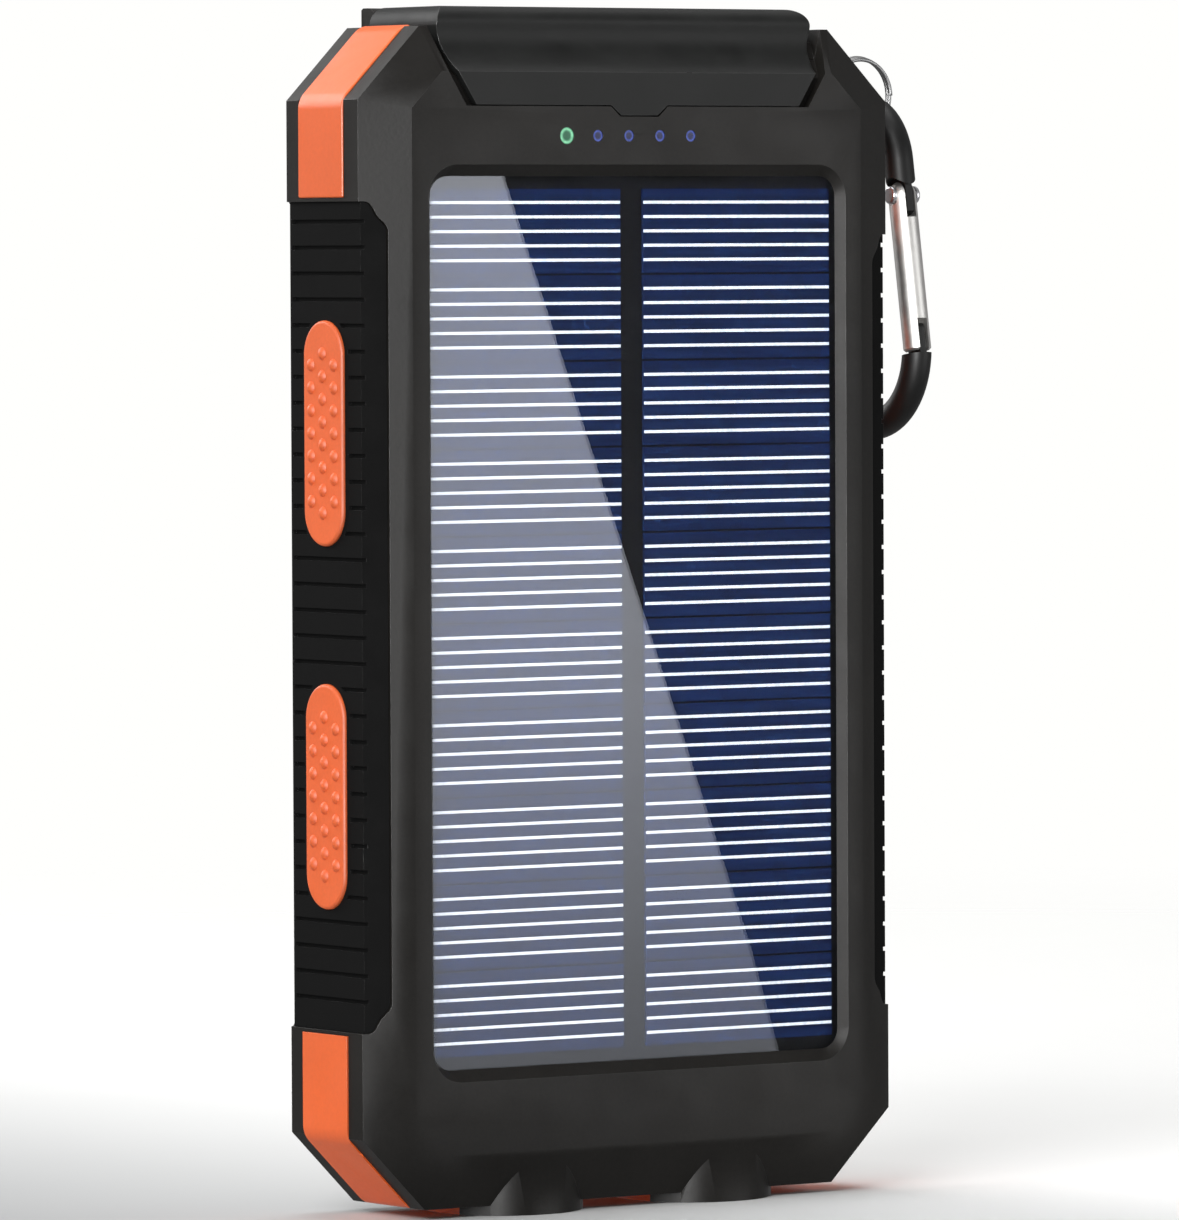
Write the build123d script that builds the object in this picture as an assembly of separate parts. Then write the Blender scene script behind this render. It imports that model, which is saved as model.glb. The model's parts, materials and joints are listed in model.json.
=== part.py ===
from build123d import *
import math
import os

# Solar power bank with a compass, two lamps and a key-ring carabiner.  Millimetres.
# X runs across the width, -Y is the solar face, +Z is the port end.
# The origin is on the surface that the two lamp rings stand on, under the middle of the case.

# ---- driving dimensions -------------------------------------------------------------------
half_width = 38.0
front_y, back_y = -10.0, 10.0
parting_y = -7.2               # rim where the bezel meets the back case
back_edge_y = 8.0              # start of the bevel round the back
case_bottom, case_top = 1.2, 139.6
corner_cut = 8.6               # 45 degree cut of each corner
flank_side, flank_top, flank_bottom = 5.7, 5.3, 6.5
face_corner_cut = 4.3
wall = 2.6
running_gap = 0.15

window_z = 69.8                # middle of the solar window
recess_size = (60.0, 107.3)
glass_opening = (58.3, 104.5)
panel_size = (62.0, 108.0)
glass_y = -8.9                 # front of the glass
cell_rows, lines_per_cell = 10, 5
line_pitch = 1.696
cell_length, column_gap = 27.0, 3.4

band_y = (-4.1, 5.3)           # the orange band that runs round the corners
band_depth, band_proud, band_bend = 1.0, 0.2, 2.6
band_bottom_end, band_top_end = 21.8, 119.6
band_tip_x = 28.5              # where the upper band stops on the top of the case

grip_bottom, grip_top_left, grip_top_right = 22.3, 119.1, 115.0
grip_depth, grip_sink = 1.2, 0.35
rib_pitch, first_groove, groove_width, groove_depth = 3.03, 25.93, 0.5, 0.45
grip_lip = 3.1                 # how far the grip laps over the front flank and the back
pad_length, pad_width = 26.4, 8.2
pad_middles = {"upper": 92.1, "lower": 49.6}
pad_y = 0.5

lamp_x, lamp_y = 13.7, 0.2
lamp_housing_radius, lamp_bore_radius, lamp_depth = 9.8, 8.0, 13.6
lamp_ring_outer, lamp_ring_inner = 9.0, 6.3

led_first_x, led_pitch, led_z = -10.4, 4.45, 126.8
pipe_radii = (1.0, 0.7, 0.7, 0.7, 0.7)

usb_x, usb_size = 14.5, (13.2, 5.8, 14.0)
micro_size = (7.8, 2.9, 5.5)
port_mouth_z = 137.8
board_y = (-6.0, -4.8)         # main circuit board

hinge_y, hinge_z = 9.4, 140.0  # port cover hinge
hinge_radius, pin_radius, pin_half = 1.9, 0.5, 24.2
barrel_half, ear_half = 20.6, 25.6
cover_top, seat_z = 142.0, 138.1
lip_bottom, lip_top = 130.4, 134.3
seat_halves = (24.6, 27.1, 28.3)   # at the foot of the lip, at its top and at the top of the case
cover_side_gap = 1.4
tab_halves, tab_drop = (4.3, 2.6), 1.2
platform_y, platform_bevel = 11.6, 0.9
platform_halves = (ear_half, 17.6, 14.2)
platform_levels = (137.0, 118.0, 113.2)

compass_z, compass_radius = 126.8, 7.4
back_groove_x, back_groove_size, back_groove_depth = 28.5, (112, 3.6), 0.6
screw_places = [(sx * 28.5, z) for sx in (-1, 1) for z in (8.0, 132.4)]

button_y, button_z = (-3.9, 4.1), (115.6, 125.7)
button_travel = 0.5

ring_hole = (40.6, 7.6)        # X, Y of the eye in the key-ring lug
ring_z, ring_mean_radius = 132.0, 4.3
carabiner_x, rod_radius = 45.5, 1.8
carabiner_spine_y, carabiner_top_radius, carabiner_low_radius = 15.3, 7.55, 9.3
gate_pivot, gate_lean = (-0.4, 119.8), math.radians(9.2)
gate_radius, gate_length = 1.7, 19.1
tongue_half, gate_slot_half = 0.5, 0.7   # half thickness of the body's tongues and of the gate's slots
upper_tongue, upper_slot = 2.6, 2.9      # how far below the pivot they reach
lower_tongue, lower_slot = 15.8, 15.3
rivet_radius = 0.6

os.makedirs("parts", exist_ok=True)


# ---- small helpers ------------------------------------------------------------------------
def save(name, shape):
    """Write one node."""
    solids = shape.solids() if hasattr(shape, "solids") else shape
    shape = solids[0] if len(solids) == 1 else Compound(children=list(solids))
    export_step(shape, f"parts/{name}.step")


def box(x, y, z):
    """A block from its limits along each axis."""
    size = [high - low for low, high in (x, y, z)]
    middle = [(high + low) / 2 for low, high in (x, y, z)]
    return Pos(*middle) * Box(*size)


def along_y(outline, y_from, y_to):
    """A prism of an X, Z outline between two depths."""
    return extrude(Plane.XZ.offset(-y_to) * outline, y_to - y_from)


def along_x(outline, x_from, x_to):
    """A prism of a Y, Z outline between two widths."""
    return extrude(Plane.YZ.offset(x_from) * outline, x_to - x_from)


def rod_y(radius, x, z, y_from, y_to):
    return along_y(Pos(x, z) * Circle(radius), y_from, y_to)


def rod_x(radius, y, z, x_from, x_to):
    return along_x(Pos(y, z) * Circle(radius), x_from, x_to)


def rod_z(radius, x, y, z_from, z_to):
    return extrude(Pos(x, y, z_from) * Circle(radius), z_to - z_from)


def octagon(half, low, high, cut):
    """The corner-cut rectangle that the case is drawn from, as an X, Z outline."""
    right = [(half, low + cut), (half, high - cut), (half - cut, high)]
    left = [(cut - half, high), (-half, high - cut), (-half, low + cut), (cut - half, low)]
    return Polygon(*right, *left, (half - cut, low), align=None)


def case_outline(inset=0.0):
    """The case's outline moved in by the same distance on all eight sides."""
    cut = corner_cut - inset * (2 - math.sqrt(2))
    return octagon(half_width - inset, case_bottom + inset, case_top - inset, cut)


def ruled_y(outline_a, y_a, outline_b, y_b):
    return loft([Plane.XZ.offset(-y_a) * outline_a, Plane.XZ.offset(-y_b) * outline_b], ruled=True)


def turned(points, x, y, z=0.0):
    """A solid turned about a vertical axis, from radius and height points."""
    profile = Plane.XZ * Polygon(*points, align=None)
    return Pos(x, y, z) * revolve(profile, Axis.Z)


def turned_y(points, x, z):
    """A solid turned about an axis along Y, from radius and depth points."""
    profile = Polygon(*points, align=None)
    return Pos(x, 0, z) * revolve(profile, Axis.Y)


def mirrored(shape):
    return mirror(shape, Plane.YZ)


# ---- shapes that several pieces share -----------------------------------------------------
def cover_zone(sides_in, below=0.0):
    """X, Z outline of the port cover's seat, which widens upwards, or of the cover inside it."""
    low, mid, high = (half - sides_in for half in seat_halves)
    points = [(-low, lip_bottom - below), (low, lip_bottom - below), (mid, lip_top), (high, case_top)]
    points += [(high, cover_top + 1), (-high, cover_top + 1), (-high, case_top), (-mid, lip_top)]
    return Polygon(*points, align=None)


def pull_tab(grow=0.0):
    top, low = (half + grow for half in tab_halves)
    start, end = lip_bottom + 0.2, lip_bottom - tab_drop - grow
    return Polygon((-top, start), (-low, end), (low, end), (top, start), align=None)


def cover_seat():
    """Room in the case for the port cover, down to the face that the ports open on."""
    under = [(-11, lip_bottom - 3), (-8.7, lip_bottom - 3), (-8.7, lip_top - 0.5), (-5.7, seat_z)]
    outline = Polygon(*under, (13, seat_z), (13, 144), (-11, 144), align=None)
    room = along_x(outline, -40, 40)
    return room & along_y(cover_zone(0, running_gap) + pull_tab(running_gap), -11, 13)


def lamp_bores():
    bore = rod_z(lamp_bore_radius, lamp_x, lamp_y, -1, lamp_depth)
    ring = rod_z(lamp_ring_outer, lamp_x, lamp_y, -1, 2.2)
    return bore + ring + mirrored(bore + ring)


def lamp_tubes():
    tube = rod_z(lamp_housing_radius, lamp_x, lamp_y, 0, lamp_depth)
    return tube + mirrored(tube)


def grip_outline(top, grow=0.0):
    """Front view of the left grip: a strip whose ends curl out to the edge of the case."""
    inner = grip_lip - half_width + grow
    outer = -half_width - 2
    low, high = grip_bottom - grow, top + grow
    bottom_curl = Spline((outer + 2.6, low), (inner - 1.2, low + 1.6), (inner, low + 3.6),
                         tangents=[(1, 0.1), (0, 1)])
    top_curl = Spline((inner, high - 3.6), (inner - 1.2, high - 1.6), (outer + 2.6, high),
                      tangents=[(0, 1), (-1, 0.1)])
    side = Line((inner, low + 3.6), (inner, high - 3.6))
    back = Polyline((outer + 2.6, high), (outer, high), (outer, low), (outer + 2.6, low))
    return make_face([bottom_curl, side, top_curl, back])


def grip_shell(top, sink, depth, grow=0.0):
    """The left grip's skin: it laps the front flank, the side and the back."""
    slope = (parting_y - front_y) / flank_side

    def section(inset):
        side, back = -half_width + inset, back_y - inset
        flank_in = side + 8
        front = [(side, parting_y + inset * 0.3), (flank_in, parting_y + inset * 0.9 - 8 * slope)]
        rear = [(flank_in, back), (side + 2, back), (side, back_edge_y - inset * 0.4)]
        return Polygon(*front, *rear, align=None)

    outer = extrude(section(sink), top - grip_bottom + 2 * grow)
    inner = extrude(section(sink + depth), top - grip_bottom + 2 * grow)
    skin = Pos(0, 0, grip_bottom - grow) * (outer - inner)
    return skin & along_y(grip_outline(top, grow), -14, 14)


def grip_room(top):
    """Pocket in the shells for the left grip."""
    return grip_shell(top, -3.0, grip_depth + grip_sink + 3.0, 0.05)


def pad_outline(grow=0.0):
    return SlotOverall(pad_length + 2 * grow, pad_width + 2 * grow, rotation=90)


def bent_outline(inset):
    """The case's outline with its corners eased, for the soft bends of the orange band."""
    outline = case_outline(inset)
    return fillet(outline.vertices(), band_bend - inset)


def corner_band(depth_in, proud):
    """The full orange band round the case, before it is cut to length."""
    inner = along_y(bent_outline(depth_in), band_y[0] - 1, band_y[1] + 1)
    return along_y(bent_outline(-proud), *band_y) - inner


def band_pocket():
    """The band's groove in the case, open outwards."""
    clearance = 0.05
    inner = along_y(bent_outline(band_depth + clearance), band_y[0] - 1, band_y[1] + 1)
    return along_y(octagon(45, -5, 150, 3), band_y[0] - clearance, band_y[1] + clearance) - inner


def bottom_stretch(grow=0.0):
    return box((-45, 45), (-9, 9), (-5, band_bottom_end + grow))


def top_stretch(grow=0.0):
    return box((-45, -band_tip_x + grow), (-9, 9), (band_top_end - grow, 150))


def key_ring_lug():
    """Flat tab at the corner with an upright eye for the key ring."""
    x, y = ring_hole
    outline = Pos(x, y) * Circle(2.3) + Pos((x + 30) / 2, y - 0.1) * Rectangle(x - 30, 4.4)
    return extrude(Pos(0, 0, ring_z - 1.0) * outline, 2.0)


def button_outline(grow=0.0):
    """Y, Z outline of the power button or of its hole."""
    width, height = button_y[1] - button_y[0], button_z[1] - button_z[0]
    return Pos(sum(button_y) / 2, sum(button_z) / 2) * Rectangle(width + 2 * grow, height + 2 * grow)


# ---- the two shells -----------------------------------------------------------------------
def make_front_bezel():
    low, high = case_bottom + flank_bottom, case_top - flank_top
    face = octagon(half_width - flank_side, low, high, face_corner_cut)
    shell = ruled_y(case_outline(), parting_y, face, front_y)
    shell += lamp_tubes() & box((-30, 30), (-12, parting_y), (0, lamp_depth))
    at_window = Pos(0, window_z)
    rim = at_window * RectangleRounded(*recess_size, 4.0)
    opening = at_window * RectangleRounded(*glass_opening, 2.4)
    pocket = at_window * RectangleRounded(panel_size[0] + 0.3, panel_size[1] + 0.3, 2.5)
    shell -= ruled_y(rim, front_y - 0.01, opening, glass_y)
    shell -= along_y(opening, glass_y - 0.1, 0) + along_y(pocket, glass_y, 0)
    shell -= lamp_bores() + cover_seat()
    for index, radius in enumerate(pipe_radii):
        shell -= rod_y(radius, led_first_x + index * led_pitch, led_z, -11, -7)
    for x, z in screw_places:
        shell += rod_y(2.6, x, z, parting_y, -1.0)
        shell -= rod_y(1.0, x, z, -6.4, 0)
    shell -= grip_room(grip_top_left) + mirrored(grip_room(grip_top_right))
    return shell


def back_outer():
    shell = along_y(case_outline(), parting_y, back_edge_y)
    shell += ruled_y(case_outline(), back_edge_y, case_outline(back_y - back_edge_y), back_y)
    shell += lamp_tubes() & box((-30, 30), (parting_y, 12), (0, lamp_depth))
    return shell


def platform_outline(inset=0.0):
    wide, middle, narrow = (half - inset for half in platform_halves)
    high, shoulder, foot = platform_levels
    points = [(-wide, cover_top), (-wide, high), (-middle, shoulder), (-narrow, foot + inset)]
    points += [(narrow, foot + inset), (middle, shoulder), (wide, high), (wide, cover_top)]
    sketch = Polygon(*points, align=None)
    corners = sketch.vertices().filter_by_position(Axis.Y, foot - 1, shoulder + 1)
    return fillet(corners, 2.6)


def platform():
    """Raised plate that carries the compass and the two ears of the cover's hinge."""
    bevel_y = platform_y - platform_bevel
    plate = along_y(platform_outline(), back_y - 2.4, bevel_y)
    plate += ruled_y(platform_outline(), bevel_y, platform_outline(platform_bevel), platform_y)
    ears_clear = box((-40, 40), (5, hinge_y), (seat_z, 150)) - rod_x(2.0, hinge_y, hinge_z, -50, 50)
    rear_clear = box((-40, 40), (hinge_y, 20), (hinge_z, 150)) - rod_x(2.2, hinge_y, hinge_z, -50, 50)
    barrel_room = box((-barrel_half - running_gap, barrel_half + running_gap), (7.1, 20), (136.0, 150))
    return plate - ears_clear - rear_clear - barrel_room


def make_back_case():
    shell = back_outer() - cover_seat() + platform() + key_ring_lug()
    cavity = along_y(case_outline(wall), parting_y - 1, back_edge_y)
    cavity &= box((-40, 40), (-20, 20), (0, 136.0))
    cavity -= lamp_tubes()
    shell -= cavity
    for x, z in screw_places:
        shell += rod_y(2.8, x, z, -0.9, back_edge_y)
    shell += rod_y(compass_radius + 1.5, 0, compass_z, 5.8, back_y)
    shell -= rod_y(compass_radius + 0.05, 0, compass_z, 7.0, 15)
    shell -= box((-barrel_half - running_gap, barrel_half + running_gap), (7.1, 20), (136.2, 150))
    shell -= rod_x(pin_radius, hinge_y, hinge_z, -pin_half, pin_half)
    shell -= lamp_bores() + (band_pocket() & (bottom_stretch(0.05) + top_stretch(0.05)))
    shell -= grip_room(grip_top_left) + mirrored(grip_room(grip_top_right))
    for x, z in screw_places:
        shell -= rod_y(1.1, x, z, -2, 9)
        shell -= rod_y(1.85, x, z, 4.6, 11)
    for side in (-1, 1):
        groove = Pos(side * back_groove_x, window_z) * SlotOverall(*back_groove_size, rotation=90)
        shell -= along_y(groove, back_y - back_groove_depth, 11)
        shell -= box((side * usb_x - 6.8, side * usb_x + 6.8), (-4.9, 1.2), (134, 139))
    shell -= box((-4.1, 4.1), (-4.9, -1.7), (134, 139))
    shell -= rod_z(1.15, *ring_hole, 120, 140)
    shell -= along_x(button_outline(running_gap), 35.0, 42)
    return shell


# ---- solar panel --------------------------------------------------------------------------
def cell_middles():
    pitch = (lines_per_cell + 1) * line_pitch
    for row in range(cell_rows):
        for side in (-1, 1):
            yield side * (column_gap + cell_length) / 2, window_z + (row - (cell_rows - 1) / 2) * pitch


def make_solar_panel():
    outline = Pos(0, window_z) * RectangleRounded(*panel_size, 2.4)
    save("solar_glass", along_y(outline, glass_y, -8.0))
    save("solar_board", along_y(outline, -7.6, -6.6))
    cell_height = (lines_per_cell + 1) * line_pitch - 0.25
    half_length, half_height = cell_length / 2 + 0.1, cell_height / 2
    cells = []
    for x, z in cell_middles():
        cells.append(Pos(x, -7.725, z) * Box(2 * half_length, 0.25, 2 * half_height))
    save("solar_cells", Compound(children=cells))
    lines = []
    for x, z in cell_middles():
        for number in range(lines_per_cell):
            level = z + (number - (lines_per_cell - 1) / 2) * line_pitch
            lines.append(box((x - cell_length / 2, x + cell_length / 2), (-7.93, -7.85),
                             (level - 0.17, level + 0.17)))
    save("cell_fingers", Compound(children=lines))


# ---- grips, pads and bands ----------------------------------------------------------------
def make_grip(top):
    """Left grip with its grooves, which stop short of the two pads."""
    grip = grip_shell(top, grip_sink, grip_depth)
    side = -half_width + grip_sink
    count = int((top - 1 - first_groove) / rib_pitch) + 1
    reach = (parting_y - 0.3, back_edge_y - 0.5)
    groove = box((-39, side + groove_depth), reach, (-groove_width / 2, groove_width / 2))
    pads = [Pos(pad_y, z) for z in pad_middles.values()]
    rims = [along_x(place * pad_outline(0.7), -40, -30) for place in pads]
    for index in range(count):
        grip -= Pos(0, 0, first_groove + index * rib_pitch) * groove - rims
    for place in pads:
        grip -= along_x(place * pad_outline(0.05), -40, side + 0.85)
    return grip


def make_pad(z):
    """Obround pad with three staggered columns of round studs."""
    face_x = -half_width - 0.1
    pad = along_x(Pos(pad_y, z) * pad_outline(), face_x, -half_width + grip_sink + 0.85)
    pad = fillet(pad.faces().sort_by(Axis.X)[0].edges(), 0.4)
    studs = []
    for row in range(-4, 5):
        for column in (-1, 0, 1):
            shift = row * 2.66 + (1.33 if column == 0 else 0)
            if abs(shift) < pad_length / 2 - 1.6 - abs(column) * 1.2:
                stud = Pos(face_x + 0.55, pad_y + column * 2.4, z + shift) * Sphere(0.95)
                studs.append(stud & box((-40, face_x + 0.5), (-9, 9), (0, 140)))
    return pad + studs


def make_top_corner_trim():
    return corner_band(band_depth, band_proud) & top_stretch()


def make_lamp_bezel():
    flush = box((-45, 45), (-9, 9), (case_bottom, band_bottom_end))
    band = corner_band(band_depth, band_proud) & flush
    for side in (-1, 1):
        band += rod_z(lamp_ring_outer - 0.05, side * lamp_x, lamp_y, 0, 2.15)
    mouth = [(0, -1), (lamp_ring_inner + 1.5, -1), (lamp_ring_inner + 0.5, 0), (lamp_ring_inner, 0.9)]
    seat = [(lamp_ring_inner, 1.5), (lamp_bore_radius, 1.5), (lamp_bore_radius, 5), (0, 5)]
    for side in (-1, 1):
        band -= turned(mouth + seat, side * lamp_x, lamp_y)
    return band


# ---- lamps --------------------------------------------------------------------------------
def make_lamp(side):
    x = side * lamp_x
    outer = lamp_bore_radius - 0.1
    lens = turned([(0, 1.5), (outer - 0.3, 1.5), (outer, 1.8), (outer, 2.5), (0, 2.5)], x, lamp_y)
    cup = [(outer, 2.5), (outer, 11.6), (1.8, 11.6)]
    cup += [(1.8 + 5.0 * math.sqrt(step / 8), 10.9 - 8.4 * step / 8) for step in range(9)]
    reflector = turned(cup, x, lamp_y)
    emitter = box((x - 1.7, x + 1.7), (lamp_y - 1.7, lamp_y + 1.7), (11.65, lamp_depth))
    emitter += Pos(x, lamp_y, 11.65) * (Sphere(1.25) & Pos(0, 0, -1) * Box(4, 4, 2))
    return lens, reflector, emitter


def make_lamp_board():
    return box((-21.5, 21.5), (-5.0, 5.6), (lamp_depth, lamp_depth + 1.2))


# ---- electronics --------------------------------------------------------------------------
def make_main_board():
    outline = Pos(0, 115.35) * Rectangle(62, 25.7) + Pos(0, 131.9) * Rectangle(49.2, 7.4)
    return along_y(outline, *board_y)


def make_usb_a(side):
    width, height, depth = usb_size
    x, low_y, low_z = side * usb_x, board_y[1], port_mouth_z - depth
    mouth = Pos(x, low_y + height / 2) * Rectangle(width, height)
    shell = extrude(Pos(0, 0, low_z) * mouth, depth)
    shell -= extrude(Pos(0, 0, low_z + 1.0) * offset(mouth, -0.4, kind=Kind.INTERSECTION), depth)
    tongue = box((x - 5.6, x + 5.6), (low_y + 0.4, low_y + 2.3), (low_z + 1.0, port_mouth_z - 1.2))
    return shell, tongue


def make_micro_usb():
    width, height, depth = micro_size
    low_y, low_z = board_y[1], port_mouth_z - depth
    mouth = Pos(0, low_y + height / 2) * Rectangle(width, height)
    mouth = chamfer(mouth.vertices().group_by(Axis.Y)[0], 0.95)
    outer = extrude(Pos(0, 0, low_z) * mouth, depth)
    inner = extrude(Pos(0, 0, low_z + 0.8) * offset(mouth, -0.35, kind=Kind.INTERSECTION), depth)
    tongue = box((-2.3, 2.3), (low_y + 1.25, low_y + 1.9), (low_z + 0.8, port_mouth_z - 0.8))
    return outer - inner, tongue


def make_board_components():
    top = board_y[1]
    save("charge_chip", box((-10.5, -4.5), (top, top + 1.0), (108, 114)))
    coil = box((1, 9), (top, top + 4.2), (106, 114)) - rod_y(1.4, 5, 110, top + 2.8, top + 5)
    save("power_inductor", coil)
    cans = [rod_y(2.5, x, 109.5, top, top + 6.2) for x in (-24, -17.5, 15.5)]
    save("capacitors", Compound(children=cans))
    leds = []
    for index in range(len(pipe_radii)):
        x = led_first_x + index * led_pitch
        leds.append(box((x - 0.8, x + 0.8), (-6.7, board_y[0]), (led_z - 0.4, led_z + 0.4)))
    save("indicator_leds", Compound(children=leds))


def make_light_pipes():
    pipes = []
    for index, radius in enumerate(pipe_radii):
        x = led_first_x + index * led_pitch
        pipe = rod_y(radius, x, led_z, front_y + 0.1, -6.8)
        pipe += rod_y(radius + 0.4, x, led_z, parting_y, -6.8)
        pipes.append(pipe)
    save("green_light_pipe", pipes[0])
    save("blue_light_pipes", Compound(children=pipes[1:]))


def make_batteries():
    outline = Pos(0, 58.5) * RectangleRounded(56, 83, 2.0)
    save("battery_front", along_y(outline, -5.9, 0.0))
    save("battery_back", along_y(outline, 0.3, 6.2))
    pads = along_y(Pos(0, 58.5) * Rectangle(30, 60), 0.0, 0.3)
    save("battery_tape", pads)
    save("battery_foam", along_y(Pos(0, 58.5) * Rectangle(48, 72), 6.2, back_edge_y))


def make_wires():
    """Leads inside the case, each one a smooth tube along straight runs and arcs."""
    solar_run = [(-6.6, 94.0), (-4.4, 94.0), (-2.4, 98.0), (-2.4, 105.0), (-4.8, 105.0)]
    routes = {
        "battery_lead_red": [(-12, 3.2, 100.0), (-12, 3.2, 104.5), (-13, -1.0, 107.5), (-13, -4.8, 107.5)],
        "battery_lead_black": [(12, 3.2, 100.0), (12, 3.2, 102.5), (12.2, -1.0, 104.2), (12.2, -4.8, 104.2)],
        "solar_lead_red": [(-29.5, y, z) for y, z in solar_run],
        "solar_lead_black": [(29.5, y, z) for y, z in solar_run],
        "lamp_lead_red": [(21.5, 3.5, 14.2), (26.5, 3.5, 14.2), (31.0, 3.4, 21.0), (31.0, 3.5, 101.0),
                          (29.5, -0.8, 108.0), (29.5, -4.8, 108.0)],
        "lamp_lead_black": [(21.5, 0.2, 14.2), (26.5, 0.2, 14.2), (31.0, 0.1, 21.0), (31.0, 0.2, 98.5),
                            (26.5, -1.0, 104.5), (26.5, -4.8, 104.5)],
    }
    radius = 0.6
    for name, points in routes.items():
        bends = []
        for before, here, after in zip(points, points[1:], points[2:]):
            run_in = Vector(*here) - Vector(*before)
            run_out = Vector(*after) - Vector(*here)
            turn = math.radians(run_in.get_angle(run_out))
            bends.append(0.45 * min(run_in.length, run_out.length) / math.tan(turn / 2))
        path = FilletPolyline(*points, radius=bends)
        start = Plane(origin=path @ 0, z_dir=path % 0)
        tube = sweep(start * Circle(radius), path=path)
        fullness = tube.volume / (math.pi * radius ** 2 * path.length)
        print(name, "length", round(path.length, 1), "volume ratio", round(fullness, 3),
              "bend radii", [round(bend, 1) for bend in bends])
        save(name, tube)


# ---- power button -------------------------------------------------------------------------
def make_power_button():
    middle_y, middle_z = sum(button_y) / 2, sum(button_z) / 2
    cap = along_x(button_outline(), 35.2, half_width + 0.3)
    cap = fillet(cap.faces().sort_by(Axis.X)[-1].edges(), 0.5)
    cap += along_x(button_outline(0.7), 34.5, 35.2)
    cap += rod_x(1.2, -2.4, middle_z, 32.5, 34.6)
    dial = along_x(Pos(middle_y, middle_z) * (Circle(2.6) - Circle(2.0)), 38.0, 39)
    dial -= box((37, 40), (middle_y - 0.9, middle_y + 0.9), (middle_z, middle_z + 4))
    bar = box((38.0, 39), (middle_y - 0.3, middle_y + 0.3), (middle_z + 0.3, middle_z + 3.1))
    return cap - dial - bar


def make_switch():
    middle_z = sum(button_z) / 2
    body = box((27.4, 31.2), (board_y[1], -0.6), (middle_z - 3, middle_z + 3))
    body -= rod_x(1.05, -2.4, middle_z, 30.0, 32)
    plunger = rod_x(1.0, -2.4, middle_z, 30.6, 32.45)
    return body, plunger


# ---- port cover ---------------------------------------------------------------------------
def cover_profile():
    """Y, Z section of the flap: flat lip, hollowed slope, round ridge, and the underside."""
    lip = Polyline((-8.85, lip_bottom), (front_y, lip_bottom), (front_y, lip_top))
    slope = Spline((front_y, lip_top), (-8.1, 136.0), (-7.0, 138.6), tangents=[(1, 0.5), (0, 1)])
    ridge = Spline((-7.0, 138.6), (-7.2, 140.2), (-4.6, cover_top), tangents=[(0, 1), (1, 0)])
    top = [(-4.6, cover_top), (hinge_y, cover_top), (hinge_y, seat_z + 0.1)]
    underside = [(-5.9, seat_z + 0.1), (-8.85, lip_top - 0.4), (-8.85, lip_bottom)]
    return make_face([lip, slope, ridge, Polyline(*top, *underside)])


def rounded_cover_zone():
    """The flap's own front outline, with the ends of its ridge rounded."""
    outline = cover_zone(cover_side_gap) & Rectangle(80, 2 * cover_top)
    return fillet(outline.vertices().group_by(Axis.Y)[-1], 2.2)


def make_port_cover():
    """Rubber flap on a hinge barrel that turns between the two ears."""
    barrel = (-barrel_half, barrel_half)
    flap = along_x(cover_profile(), -30, 30) & along_y(rounded_cover_zone(), -12, 13)
    ear_room = box((barrel_half, 30), (hinge_y - 2.4, 20), (130, 150))
    flap -= ear_room + mirrored(ear_room)
    flap -= box(barrel, (hinge_y - hinge_radius, 20), (130, 150))
    flap -= box((-24.0, 24.0), (-4.0, 6.0), (130, 140.4))
    flap += box(barrel, (hinge_y - 2.6, hinge_y), (hinge_z - 1.0, hinge_z + hinge_radius))
    flap += rod_x(hinge_radius, hinge_y, hinge_z, *barrel)
    flap += along_y(pull_tab(), front_y, -8.9)
    return flap - rod_x(pin_radius + 0.06, hinge_y, hinge_z, -40, 40)


# ---- compass ------------------------------------------------------------------------------
def make_compass():
    """Cup with a polished rim, a floating card on a needle pivot, and a low domed lens."""
    rim, bore = compass_radius, compass_radius - 1.3
    cup = [(0, 7.0), (rim, 7.0), (rim, 11.7), (rim - 0.5, 12.1), (rim - 1.0, 12.1)]
    cup += [(bore, 11.6), (bore, 8.0), (0, 8.0)]
    card = [(0.35, 9.6), (bore - 0.5, 9.6), (bore - 0.5, 10.0), (0.35, 10.0)]
    needle = [(0, 8.0), (0.6, 8.0), (0.28, 9.5), (0.28, 10.3), (0, 10.5)]
    lens = [(0, 11.2), (bore - 0.05, 11.2), (bore - 0.05, 11.6), (bore - 1.1, 11.95), (0, 12.1)]
    save("compass_housing", turned_y(cup, 0, compass_z))
    save("compass_card", turned_y(card, 0, compass_z))
    save("compass_pivot", turned_y(needle, 0, compass_z))
    save("compass_lens", turned_y(lens, 0, compass_z))


# ---- screws -------------------------------------------------------------------------------
def make_screws():
    screws, plugs = [], []
    for x, z in screw_places:
        screw = rod_y(1.0, x, z, -6.2, 4.6) + rod_y(1.75, x, z, 4.6, 6.2)
        recess = along_y(Pos(x, z) * (Rectangle(2.0, 0.5) + Rectangle(0.5, 2.0)), 5.4, 7)
        screws.append(screw - recess)
        plug = rod_y(1.8, x, z, 8.2, back_y + 0.1)
        plugs.append(plug)
    save("case_screws", Compound(children=screws))
    save("screw_plugs", Compound(children=plugs))


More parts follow.
